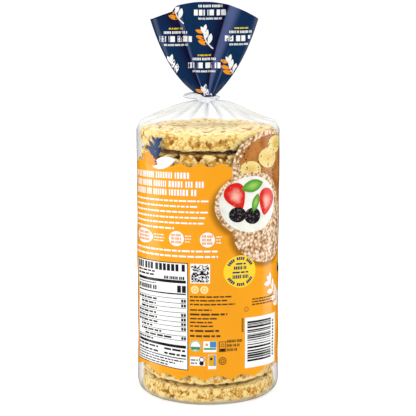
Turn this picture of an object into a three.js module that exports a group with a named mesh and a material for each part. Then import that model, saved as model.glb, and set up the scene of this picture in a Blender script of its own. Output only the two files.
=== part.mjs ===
// A shut bag of puffed rice cakes, standing on its base: a clear printed film bag drawn tight round a stack
// of round cakes, gathered at the neck under a crumpled white wrap, with the spare film spread above it as
// a fan. Millimetres, +Z up, origin at the middle of the base, printed panel facing -Y.
import * as THREE from "three";
import { mergeVertices } from "three/addons/utils/BufferGeometryUtils.js";

// The stack of cakes sets the size of the bag.
const CAKE_COUNT = 14;
const CAKE_PITCH = 13.4;
const STACK_TOP = CAKE_COUNT * CAKE_PITCH;
const BAG_RADIUS = 50;
const SHOULDER_RADIUS = 49.6;

// The base is flat out to a small fold round its edge, which turns up into the wall.
const BASE_FOLD_HEIGHT = 7;
const BASE_FOLD = [
  { radius: 22, z: 0 },
  { radius: 43, z: 0 },
  { radius: 46.6, z: 0.9 },
  { radius: 49.1, z: 3.2 },
  { radius: BAG_RADIUS, z: BASE_FOLD_HEIGHT },
];

// The film dips a little where it spans uneven cakes.
const WALL_DIP = 0.4;
const DIP_FREE_BELOW = 30;
const DIP_FREE_ABOVE = STACK_TOP - 22;

// The shoulder rises from the stack's rim to the neck in gathers.
const SHOULDER_START = STACK_TOP - 6;
const NECK_RADIUS = 3.6;
const NECK_TOP = STACK_TOP + 19;
const GATHER_COUNT = 15;
const GATHER_DROP = 3.4;
const GATHER_PINCH = 0.17;
const GATHER_SOFTNESS = 0.05;
const SHOULDER_SAG = 1.5;

// The fan is the film above the neck, measured along the film from the neck to its cut edge.
const FAN_LENGTH = 64.4;
const FAN_HALF_WIDTH = 37;
const FAN_HALF_DEPTH = 4.5;
const FAN_SPREAD_LENGTH = 60;
const FAN_EDGE_DROP = 11.4;
const FAN_DROP_LENGTH = 25;
const FAN_LEAN = -2.6;
const FAN_LEAN_LENGTH = 10;
const FAN_LOBE_DEPTH = 6;
const FAN_RIPPLE_DEPTH = 0.8;
const FAN_RIPPLES = 7;
const FAN_BACK_PHASE = 1.3;
const FAN_STEP = 5;
const FAN_FRONT_RISE = 1.5;
const FAN_BACK_DROP = 3;

// Where the creases between the fan's lobes lie, from -1 at its left side to 1 at its right, near the neck
// and at the cut edge. The creases wander a little on their way up.
const FRONT_CREASES = [
  { low: -0.36, high: -0.57 },
  { low: 0.12, high: 0.43 },
];
const BACK_CREASES = [
  { low: -0.3, high: -0.2 },
  { low: 0.35, high: 0.5 },
];

// The wrap is a crumpled collar that lies on the shoulder round the neck.
const WRAP_RADIUS = 12.6;
const WRAP_FLAP_REACH = 5.6;
const WRAP_FLAP_SPREAD = 0.42;
const WRAP_FLAP_RISE = 3.4;
const WRAP_CUT = 5.4;
const WRAP_THICKNESS = 1.7;
const WRAP_MOUTH = 1.8;
const WRAP_LIFT = 3;
const WRAP_RUFFLE = 1.6;
const CLEARANCE = 0.4;

// How finely the solids are divided.
const BAG_SECTORS = 88;
const WRAP_SECTORS = 60;
const WALL_RINGS = 11;
const SHOULDER_RINGS = 11;
const FAN_RINGS = 10;
const FAN_RING_CROWDING = 1.25;
const WRAP_SHARES = [0, 0.3, 0.65, 1];

const FULL_TURN = 2 * Math.PI;

function smoothStep(low, high, value) {
  return THREE.MathUtils.smoothstep(value, low, high);
}

// The angles of a ring's points, the first one towards +X.
function sectorAngles(count) {
  return Array.from({ length: count }, (_, i) => (FULL_TURN * i) / count);
}

// The gathers of the film round the neck: 1 on the crest of a gather, 0 in the crease between two.
function gather(angle) {
  const drift = 1.1 * Math.sin(angle + 0.7) + 0.7 * Math.sin(2 * angle + 2.1) + 0.5 * Math.sin(3 * angle);
  const wave = Math.sin((GATHER_COUNT * angle + drift) / 2);
  return Math.sqrt(GATHER_SOFTNESS + (1 - GATHER_SOFTNESS) * wave * wave);
}

// The wall's radius: widest low down, drawn in a little towards the shoulder, with shallow dips.
function wallRadius(angle, z) {
  const taper = THREE.MathUtils.mapLinear(z, BASE_FOLD_HEIGHT, STACK_TOP, BAG_RADIUS, SHOULDER_RADIUS);
  const aboveFold = smoothStep(BASE_FOLD_HEIGHT, DIP_FREE_BELOW, z);
  const belowShoulder = 1 - smoothStep(DIP_FREE_ABOVE, STACK_TOP, z);
  const dip = 0.5 + 0.5 * Math.sin(3 * angle + z / 23) * Math.sin(z / 9 + 2 * angle);
  return taper - WALL_DIP * aboveFold * belowShoulder * dip;
}

// The shoulder in section, from the stack's rim to the neck, as radius and height.
const shoulderLine = new THREE.SplineCurve(
  [
    [SHOULDER_RADIUS, -3],
    [48.4, 0.8],
    [46.4, 3.5],
    [41, 6.5],
    [33, 9.6],
    [25.5, 12.7],
    [17, 15.3],
    [9, 16.9],
    [NECK_RADIUS, 17.8],
  ].map(([radius, rise]) => new THREE.Vector2(radius, STACK_TOP + rise)),
);

function baseRing(radius, z) {
  return sectorAngles(BAG_SECTORS).map(
    (angle) => new THREE.Vector3(radius * Math.cos(angle), radius * Math.sin(angle), z),
  );
}

function wallRing(z) {
  return sectorAngles(BAG_SECTORS).map((angle) => {
    const radius = wallRadius(angle, z);
    return new THREE.Vector3(radius * Math.cos(angle), radius * Math.sin(angle), z);
  });
}

// share runs from 0 at the stack's rim to 1 at the neck. A crease lies lower and nearer the axis than
// a crest, and the shoulder sags a little halfway up towards +X.
function shoulderRing(share) {
  const { x: lineRadius, y: lineHeight } = shoulderLine.getPoint(share);
  const depth = smoothStep(0.14, 0.62, share) * (1 - 0.85 * smoothStep(0.82, 1, share));
  const halfway = smoothStep(0.15, 0.4, share) * (1 - smoothStep(0.5, 0.75, share));
  return sectorAngles(BAG_SECTORS).map((angle) => {
    const crease = 1 - gather(angle);
    const radius = lineRadius * (1 - GATHER_PINCH * depth * crease);
    const sag = SHOULDER_SAG * halfway * Math.pow((1 + Math.cos(angle)) / 2, 2);
    return new THREE.Vector3(
      radius * Math.cos(angle),
      radius * Math.sin(angle),
      lineHeight - GATHER_DROP * depth * crease - sag,
    );
  });
}

// The share of a settling change that is done at a distance along the film.
function settled(distance, length) {
  return 1 - Math.exp(-distance / length);
}

// The height of a lobe of the fan: 0 in a crease and at the two sides, 1 on the crest of each lobe between
// them.
function lobe(across, share, creases) {
  const stops = [-1, ...creases.map(({ low, high }) => THREE.MathUtils.lerp(low, high, share)), 1];
  const next = stops.findIndex((stop, i) => i > 0 && across <= stop);
  const right = next < 0 ? stops.length - 1 : next;
  const along = (across - stops[right - 1]) / (stops[right] - stops[right - 1]);
  return Math.pow(Math.max(0, Math.sin(Math.PI * along)), 0.75);
}

// How much higher the film ends than a plain fan would: the front stands a little above the back, apart
// from its left lobe, which is tucked behind the middle one and ends lower.
function endRise(across, side) {
  if (side > 0) return -FAN_BACK_DROP * side;
  return -side * (FAN_FRONT_RISE - FAN_STEP * smoothStep(0.5, 0.64, -across));
}

// The fan's ring at a distance along the film. The film spreads sideways, its outer parts end lower because
// they lean out, and its lobes run from the neck to the cut edge.
function fanRing(distance) {
  const spread = settled(distance, FAN_SPREAD_LENGTH) / settled(FAN_LENGTH, FAN_SPREAD_LENGTH);
  const share = distance / FAN_LENGTH;
  const halfWidth = THREE.MathUtils.lerp(NECK_RADIUS, FAN_HALF_WIDTH, spread);
  const halfDepth = THREE.MathUtils.lerp(NECK_RADIUS, FAN_HALF_DEPTH, Math.pow(share, 0.7));
  const drop = FAN_EDGE_DROP * settled(distance, FAN_DROP_LENGTH);
  const lean = FAN_LEAN * settled(distance, FAN_LEAN_LENGTH);
  return sectorAngles(BAG_SECTORS).map((angle) => {
    const across = Math.cos(angle);
    const side = Math.sin(angle);
    const isFront = side < 0;
    const crest = lobe(across, share, isFront ? FRONT_CREASES : BACK_CREASES);
    const ripple = Math.cos(Math.PI * FAN_RIPPLES * across + (isFront ? 0 : FAN_BACK_PHASE)) * Math.abs(side);
    const bulge = FAN_LOBE_DEPTH * crest * Math.pow(share, 0.8) + FAN_RIPPLE_DEPTH * ripple * share;
    return new THREE.Vector3(
      halfWidth * across + lean,
      side * halfDepth + Math.sign(side) * bulge,
      NECK_TOP + distance - drop * across * across + share * endRise(across, side),
    );
  });
}

// A closed surface through rings of equal size: a point closes the first ring, and the last ring is closed by
// a strip between the two points that face each other across it.
function skinRings(lowPoint, rings) {
  const count = rings[0].length;
  const positions = [lowPoint, ...rings.flat()].flatMap((p) => p.toArray());
  const at = (ring, i) => 1 + ring * count + ((i + count) % count);
  const faces = [];
  for (let i = 0; i < count; i++) faces.push(0, at(0, i + 1), at(0, i));
  for (let ring = 0; ring + 1 < rings.length; ring++) {
    for (let i = 0; i < count; i++) {
      faces.push(at(ring, i), at(ring, i + 1), at(ring + 1, i + 1));
      faces.push(at(ring, i), at(ring + 1, i + 1), at(ring + 1, i));
    }
  }
  const last = rings.length - 1;
  for (let i = 0; i < count / 2; i++) {
    const near = [at(last, i), at(last, i + 1)];
    const far = [at(last, -i), at(last, -i - 1)];
    if (i > 0) faces.push(far[0], near[0], near[1]);
    if (i + 1 < count / 2) faces.push(far[0], near[1], far[1]);
  }
  return solidGeometry(positions, faces);
}

function solidGeometry(positions, faces) {
  const geometry = new THREE.BufferGeometry();
  geometry.setAttribute("position", new THREE.Float32BufferAttribute(positions, 3));
  geometry.setIndex(faces);
  const merged = mergeVertices(geometry, 1e-4);
  merged.computeVertexNormals();
  return merged;
}

// Film, stack and fan as one shut bag.
function bagGeometry() {
  const rings = BASE_FOLD.map(({ radius, z }) => baseRing(radius, z));
  for (let i = 1; i <= WALL_RINGS; i++) {
    rings.push(wallRing(THREE.MathUtils.lerp(BASE_FOLD_HEIGHT, SHOULDER_START, i / WALL_RINGS)));
  }
  for (let i = 0; i <= SHOULDER_RINGS; i++) {
    rings.push(shoulderRing(i / SHOULDER_RINGS));
  }
  for (let i = 0; i <= FAN_RINGS; i++) {
    rings.push(fanRing(FAN_LENGTH * Math.pow(i / FAN_RINGS, FAN_RING_CROWDING)));
  }
  return skinRings(new THREE.Vector3(0, 0, 0), rings);
}

// The wrap's flap towards -X: 1 in its middle, falling to 0 on both sides.
function flapShare(angle, spread) {
  const fromFlap = Math.atan2(Math.sin(angle - Math.PI), Math.cos(angle - Math.PI));
  return Math.exp(-Math.pow(fromFlap / spread, 2));
}

// How far the wrap reaches from the axis: a pointed flap towards -X, and a narrow rim towards +X.
function wrapReach(angle) {
  const flap = WRAP_FLAP_REACH * flapShare(angle, WRAP_FLAP_SPREAD);
  const cut = WRAP_CUT * smoothStep(0, 1, Math.cos(angle));
  return WRAP_RADIUS + flap - cut + 0.9 * Math.sin(3 * angle + 0.4) + 0.6 * Math.sin(7 * angle + 1.3);
}

// The height of the shoulder's crests at a radius near the neck.
function crestHeight(radius) {
  let low = 0;
  let high = 1;
  for (let i = 0; i < 40; i++) {
    const middle = (low + high) / 2;
    if (shoulderLine.getPoint(middle).x > radius) low = middle;
    else high = middle;
  }
  return shoulderLine.getPoint(low).y;
}

// A ring round the neck whose section lies on the shoulder, is thickest at the flap and ends in a thin
// wavy edge. The flap's tip stands up from the shoulder.
function wrapGeometry() {
  const inner = NECK_RADIUS + CLEARANCE;
  const loops = sectorAngles(WRAP_SECTORS).map((angle) => {
    const reach = wrapReach(angle);
    const lift = WRAP_LIFT * (0.25 + 0.75 * smoothStep(0.2, 1, -Math.cos(angle)));
    const ruffle = 0.5 + 0.5 * Math.sin(9 * angle + 0.8) * Math.cos(4 * angle);
    const rise = WRAP_RUFFLE * ruffle + WRAP_FLAP_RISE * flapShare(angle, 2 * WRAP_FLAP_SPREAD);
    const under = WRAP_SHARES.map((share) => {
      const radius = THREE.MathUtils.lerp(inner, reach, share);
      return [radius, crestHeight(radius) + CLEARANCE + rise * share * share];
    });
    const over = WRAP_SHARES.map((share, i) => {
      const radius = THREE.MathUtils.lerp(inner + WRAP_MOUTH, reach, share);
      const hump = lift * Math.sin(Math.PI * Math.pow(share, 0.8));
      return [radius, under[i][1] + WRAP_THICKNESS * (1 - 0.6 * share) + hump];
    });
    return [...under, ...over.reverse()].map(
      ([radius, height]) => new THREE.Vector3(radius * Math.cos(angle), radius * Math.sin(angle), height),
    );
  });
  const size = loops[0].length;
  const positions = loops.flat().flatMap((p) => p.toArray());
  const at = (sector, i) => (sector % WRAP_SECTORS) * size + (i % size);
  const faces = [];
  for (let sector = 0; sector < WRAP_SECTORS; sector++) {
    for (let i = 0; i < size; i++) {
      faces.push(at(sector, i), at(sector + 1, i), at(sector + 1, i + 1));
      faces.push(at(sector, i), at(sector + 1, i + 1), at(sector, i + 1));
    }
  }
  return solidGeometry(positions, faces);
}

const printedFilm = new THREE.MeshStandardMaterial({ color: 0xf29a1c, roughness: 0.35, metalness: 0 });
const whiteFilm = new THREE.MeshStandardMaterial({ color: 0xf1f2f3, roughness: 0.45, metalness: 0 });

const bag = new THREE.Mesh(bagGeometry(), printedFilm);
bag.name = "bag";
const neckWrap = new THREE.Mesh(wrapGeometry(), whiteFilm);
neckWrap.name = "neck_wrap";

const riceCakeBag = new THREE.Group();
riceCakeBag.add(bag, neckWrap);

export default riceCakeBag;
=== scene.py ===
# A shut bag of puffed rice cakes: clear and printed film drawn round a stack of cakes and gathered under a
# white wrap, with the spare film spread above it as a dark blue fan. Shapes are worked out in millimetres and
# placed in metres. +Z up, printed panel facing -Y.
import math
import random

import bpy
import numpy as np
from mathutils import Matrix, Vector, kdtree


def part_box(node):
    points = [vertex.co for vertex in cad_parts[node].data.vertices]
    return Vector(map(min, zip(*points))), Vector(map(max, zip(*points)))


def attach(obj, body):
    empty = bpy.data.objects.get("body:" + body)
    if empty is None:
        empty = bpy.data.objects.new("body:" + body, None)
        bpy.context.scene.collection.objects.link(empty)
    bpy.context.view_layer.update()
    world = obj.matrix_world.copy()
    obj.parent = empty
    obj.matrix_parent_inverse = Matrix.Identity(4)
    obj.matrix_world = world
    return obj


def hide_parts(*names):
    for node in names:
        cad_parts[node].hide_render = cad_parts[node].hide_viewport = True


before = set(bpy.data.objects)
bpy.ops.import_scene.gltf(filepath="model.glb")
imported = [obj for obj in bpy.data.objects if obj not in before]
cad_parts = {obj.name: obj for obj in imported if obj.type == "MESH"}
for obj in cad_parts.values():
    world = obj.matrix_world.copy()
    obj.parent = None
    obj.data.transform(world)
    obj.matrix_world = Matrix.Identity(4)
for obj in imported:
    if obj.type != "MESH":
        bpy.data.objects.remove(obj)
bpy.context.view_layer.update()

MM = 0.001
FULL_TURN = 2 * math.pi
MERGE_DISTANCE = 0.02 * MM

# The bag, from the frame and the same driving dimensions as its solid
bag_low, bag_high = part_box("bag")
BAG_RADIUS = bag_high[0] / MM
BAG_TOP = bag_high[2] / MM
CAKE_COUNT = 14
CAKE_PITCH = 13.4
STACK_TOP = CAKE_COUNT * CAKE_PITCH
SHOULDER_RADIUS = 49.6
SHOULDER_START = STACK_TOP - 3
BASE_FOLD_HEIGHT = 7
BASE_FOLD = [(0.0, 0.0), (22.0, 0.0), (43.0, 0.0), (46.6, 0.9), (49.1, 3.2), (BAG_RADIUS, BASE_FOLD_HEIGHT)]
WALL_DIP = 0.4
NECK_RADIUS = 3.6
NECK_TOP = STACK_TOP + 19
GATHER_COUNT = 15
GATHER_DROP = 3.4
GATHER_PINCH = 0.17
GATHER_SOFTNESS = 0.05
SHOULDER_SAG = 1.5
SHOULDER_LINE = [
    (SHOULDER_RADIUS, -3.0),
    (48.4, 0.8),
    (46.4, 3.5),
    (41.0, 6.5),
    (33.0, 9.6),
    (25.5, 12.7),
    (17.0, 15.3),
    (9.0, 16.9),
    (NECK_RADIUS, 17.8),
]

# The fan above the neck
FAN_FRONT_RISE = 1.5
FAN_LENGTH = BAG_TOP - NECK_TOP - FAN_FRONT_RISE
FAN_HALF_WIDTH = 37.0
FAN_HALF_DEPTH = 4.5
FAN_SPREAD_LENGTH = 60.0
FAN_EDGE_DROP = 11.4
FAN_DROP_LENGTH = 25.0
FAN_LEAN = -2.6
FAN_LEAN_LENGTH = 10.0
FAN_LOBE_DEPTH = 6.0
FAN_RIPPLE_DEPTH = 0.8
FAN_RIPPLES = 7
FAN_BACK_PHASE = 1.3
FAN_STEP = 5.0
FAN_BACK_DROP = 3.0
FAN_SPOT_ROUNDS = 12
FRONT_CREASES = [(-0.36, -0.57), (0.12, 0.43)]
BACK_CREASES = [(-0.3, -0.2), (0.35, 0.5)]
FILM_THICKNESS = 0.12

# The wrap round the neck
WRAP_RADIUS = 12.6
WRAP_FLAP_REACH = 5.6
WRAP_FLAP_SPREAD = 0.42
WRAP_FLAP_RISE = 3.4
WRAP_CUT = 5.4
WRAP_THICKNESS = 1.7
WRAP_MOUTH = 1.8
WRAP_LIFT = 3.0
WRAP_RUFFLE = 1.6
WRAP_CRUMPLE = 0.2
CLEARANCE = 0.4

# The print, level apart from an arch that the film is drawn up to at the front and a pull at the lower left
PRINT_ARCH = 4.5
LEFT_PULL = 3.0
BAND_TOP = 162.3
BAND_BOTTOM = 13.6

# One cake
CAKE_RADIUS = 48.2
CAKE_THICKNESS = 12.6
EDGE_ROUNDING = 1.6


def smooth_step(low, high, value):
    share = np.clip((value - low) / (high - low), 0, 1)
    return share * share * (3 - 2 * share)


def lerp(low, high, share):
    return low + (high - low) * share


def settled(distance, length):
    return 1 - np.exp(-distance / length)


def hump(distance, width):
    """1 at no distance, falling away smoothly on both sides."""
    return np.exp(-((distance / width) ** 2))


def wrapped(angle):
    """The same angle between minus and plus half a turn."""
    return np.mod(angle + math.pi, FULL_TURN) - math.pi


def polar(radius, angle, height):
    return np.stack([radius * np.cos(angle), radius * np.sin(angle), height], axis=-1)


# The bag's surface


def gather(angle):
    """The gathers of the film round the neck: 1 on a crest, 0 in a crease."""
    drift = 1.1 * np.sin(angle + 0.7) + 0.7 * np.sin(2 * angle + 2.1) + 0.5 * np.sin(3 * angle)
    wave = np.sin((GATHER_COUNT * angle + drift) / 2)
    return np.sqrt(GATHER_SOFTNESS + (1 - GATHER_SOFTNESS) * wave**2)


def crinkle(angle, height, seed, waves=9, highest=26, longest=0.32):
    """Fine uneven waves that close round the bag, about -1 to 1."""
    rng = random.Random(seed)
    total = np.zeros(np.broadcast(angle, height).shape)
    for _ in range(waves):
        around = rng.randint(2, highest)
        along = rng.uniform(-longest, longest)
        total = total + np.sin(around * angle + along * height + rng.uniform(0, FULL_TURN))
    return total / math.sqrt(waves)


def wall_radius(angle, z):
    taper = lerp(BAG_RADIUS, SHOULDER_RADIUS, (z - BASE_FOLD_HEIGHT) / (STACK_TOP - BASE_FOLD_HEIGHT))
    middle = smooth_step(BASE_FOLD_HEIGHT, 30, z) * (1 - smooth_step(STACK_TOP - 22, STACK_TOP, z))
    dip = 0.5 + 0.5 * np.sin(3 * angle + z / 23) * np.sin(z / 9 + 2 * angle)
    return taper - WALL_DIP * middle * dip + 0.07 * middle * crinkle(angle, z, 5)


def curve_through(points, share):
    """A smooth curve through points, with share running evenly from 0 at the first to 1 at the last."""
    points = np.array(points)
    place = np.clip(np.asarray(share, dtype=float), 0, 1) * (len(points) - 1)
    first = np.minimum(place.astype(int), len(points) - 2)
    weight = (place - first)[..., None]
    before = points[np.maximum(first - 1, 0)]
    start = points[first]
    end = points[first + 1]
    after = points[np.minimum(first + 2, len(points) - 1)]
    leaving = (end - before) / 2
    arriving = (after - start) / 2
    cubic = 2 * start - 2 * end + leaving + arriving
    square = -3 * start + 3 * end - 2 * leaving - arriving
    return ((cubic * weight + square) * weight + leaving) * weight + start


LINE_SHARES = np.linspace(0, 1, 401)
LINE_POINTS = curve_through(SHOULDER_LINE, LINE_SHARES)
LINE_STEPS = np.hypot(*np.diff(LINE_POINTS, axis=0).T)
LINE_LENGTHS = np.concatenate([[0], np.cumsum(LINE_STEPS)])
FILM_LENGTH = SHOULDER_START + LINE_LENGTHS[-1]


def film_place(angle, along, lift=0.0):
    """Where a point of the film lies: along is its distance up the film, which is its height on the wall."""
    angle, along = np.broadcast_arrays(np.asarray(angle, dtype=float), np.asarray(along, dtype=float))
    share = np.interp(along - SHOULDER_START, LINE_LENGTHS, LINE_SHARES)
    line = curve_through(SHOULDER_LINE, share)
    depth = smooth_step(0.14, 0.62, share) * (1 - 0.85 * smooth_step(0.82, 1, share))
    rise = gather(angle)
    crease = lerp(0.8 * (1 - rise**2), 1 - rise, smooth_step(0.35, 0.9, share))
    fine = crinkle(angle, along, 11, waves=7, highest=14, longest=0.08)
    shoulder_radius = line[..., 0] * (1 - GATHER_PINCH * depth * crease)
    halfway = smooth_step(0.15, 0.4, share) * (1 - smooth_step(0.5, 0.75, share))
    sag = SHOULDER_SAG * halfway * ((1 + np.cos(angle)) / 2) ** 2
    shoulder_height = STACK_TOP + line[..., 1] - GATHER_DROP * depth * crease + 0.06 * depth * fine - sag
    on_wall = along <= SHOULDER_START
    radius = np.where(on_wall, wall_radius(angle, along), shoulder_radius)
    height = np.where(on_wall, along, shoulder_height)
    tilt = smooth_step(0, 0.3, share)
    radius = radius + lift * (1 - 0.7 * tilt)
    height = height + lift * tilt
    return polar(radius, angle, height)


def print_place(across, level, lift=0.0):
    """Where a point of the print lies: across is measured round the film from the middle of the front."""
    across = np.asarray(across, dtype=float)
    turn = across / BAG_RADIUS
    arch = np.maximum(0, np.cos(turn)) * (1 - smooth_step(STACK_TOP - 14, STACK_TOP, level))
    pull = smooth_step(0.25, 0.9, -np.sin(turn)) * (1 - smooth_step(10, 60, level))
    return film_place(turn - math.pi / 2, level + PRINT_ARCH * arch + LEFT_PULL * pull, lift)


# The fan's surface


def lobe(across, share, creases):
    """The height of a lobe of the fan: 0 in a crease and at the two sides, 1 on the crest of each lobe."""
    stops = [np.full(np.shape(across), -1.0)]
    stops += [lerp(low, high, share) for low, high in creases]
    stops += [np.full(np.shape(across), 1.0)]
    height = np.zeros(np.shape(across))
    for left, right in zip(stops, stops[1:]):
        inside = (across >= left) & (across <= right)
        along = np.clip((across - left) / (right - left), 0, 1)
        height = np.where(inside, np.sin(math.pi * along) ** 0.75, height)
    return height


def fan_frame(distance):
    """The fan's half width, edge drop and lean at a distance along the film from the neck."""
    spread = settled(distance, FAN_SPREAD_LENGTH) / settled(FAN_LENGTH, FAN_SPREAD_LENGTH)
    half_width = lerp(NECK_RADIUS, FAN_HALF_WIDTH, spread)
    drop = FAN_EDGE_DROP * settled(distance, FAN_DROP_LENGTH)
    lean = FAN_LEAN * settled(distance, FAN_LEAN_LENGTH)
    return half_width, drop, lean


def end_rise(across, side):
    front = -side * (FAN_FRONT_RISE - FAN_STEP * smooth_step(0.5, 0.64, -across))
    return np.where(side > 0, -FAN_BACK_DROP * side, front)


def fan_place(angle, distance, lift=0.0):
    angle, distance = np.broadcast_arrays(np.asarray(angle, dtype=float), np.asarray(distance, dtype=float))
    half_width, drop, lean = fan_frame(distance)
    share = np.maximum(distance, 0) / FAN_LENGTH
    half_depth = lerp(NECK_RADIUS, FAN_HALF_DEPTH, share**0.7)
    across = np.cos(angle)
    side = np.sin(angle)
    front = side < 0
    crest = np.where(front, lobe(across, share, FRONT_CREASES), lobe(across, share, BACK_CREASES))
    ripple = np.cos(math.pi * FAN_RIPPLES * across + np.where(front, 0, FAN_BACK_PHASE)) * np.abs(side)
    bulge = FAN_LOBE_DEPTH * crest * share**0.8 + FAN_RIPPLE_DEPTH * ripple * share
    x = half_width * across + lean
    y = side * half_depth + np.sign(side) * (bulge + lift)
    z = NECK_TOP + distance - drop * across**2 + share * end_rise(across, side)
    return np.stack([x, y, z], axis=-1)


def fan_spot(x, z, side):
    """How far across the fan, -1 to 1, and how far along its film a point seen at x and z lies."""
    distance = z - NECK_TOP
    for _ in range(FAN_SPOT_ROUNDS):
        half_width, drop, lean = fan_frame(np.maximum(distance, 0))
        across = np.clip((x - lean) / half_width, -1, 1)
        sideways = side * np.sqrt(1 - across**2)
        share = np.maximum(distance, 0) / FAN_LENGTH
        distance = z - NECK_TOP + drop * across**2 - share * end_rise(across, sideways)
    return across, distance


def on_fan(x, z, side):
    """True for a motif's points that lie on the fan and clear of its sides, its mouth and the neck."""
    across, distance = fan_spot(x, z, side)
    return (np.abs(across) < 0.985) & (distance > 1) & (distance < FAN_LENGTH - 0.15)


def fan_print_place(x, z, lift, side):
    """Where a motif's point lies on the fan's front, side -1, or back, side 1."""
    across, distance = fan_spot(x, z, side)
    return fan_place(np.arctan2(side * np.sqrt(1 - across**2), across), distance, lift)


# Mesh tools


def only(thing):
    """Makes one object the only selected one and the active one."""
    bpy.ops.object.select_all(action="DESELECT")
    thing.select_set(True)
    bpy.context.view_layer.objects.active = thing


def named(name):
    """Names the object that an add operator has just made."""
    thing = bpy.context.object
    thing.name = name
    thing.data.name = name
    return thing


def grid_sheet(name, columns, rows):
    """A flat sheet one unit square, whose corner is at the origin, with columns by rows faces."""
    bpy.ops.object.select_all(action="DESELECT")
    middle = (0.5, 0.5, 0)
    bpy.ops.mesh.primitive_grid_add(x_subdivisions=columns, y_subdivisions=rows, size=1, location=middle)
    sheet = named(name)
    bpy.ops.object.transform_apply(location=True, rotation=False, scale=False)
    return sheet


def points_of(thing):
    flat = np.empty(len(thing.data.vertices) * 3)
    thing.data.vertices.foreach_get("co", flat)
    return flat.reshape(-1, 3)


def move_points(thing, places):
    thing.data.vertices.foreach_set("co", np.ascontiguousarray(places, dtype=float).ravel())
    thing.data.update()


def add_value(thing, name, values):
    attribute = thing.data.attributes.new(name, "FLOAT", "POINT")
    attribute.data.foreach_set("value", np.ascontiguousarray(values, dtype=float))


def merge_doubles(thing):
    only(thing)
    bpy.ops.object.mode_set(mode="EDIT")
    bpy.ops.mesh.select_all(action="SELECT")
    bpy.ops.mesh.remove_doubles(threshold=MERGE_DISTANCE)
    bpy.ops.object.mode_set(mode="OBJECT")


def apply_modifier(thing, kind, **settings):
    only(thing)
    modifier = thing.modifiers.new(kind.title(), kind)
    for key, value in settings.items():
        setattr(modifier, key, value)
    bpy.ops.object.modifier_apply(modifier=modifier.name)


def duplicate(thing, name):
    only(thing)
    bpy.ops.object.duplicate(linked=False)
    return named(name)


def shade_smooth(thing, angle=60):
    only(thing)
    bpy.ops.object.shade_smooth_by_angle(angle=math.radians(angle))


def keep(thing, slot, *replaced):
    """Puts a finished piece on the bag's body."""
    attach(thing, "root")
    if replaced:
        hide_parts(*replaced)
    return thing


# Print tools

INK_THICKNESS = 0.03
INK_CUT = 2.4


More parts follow.
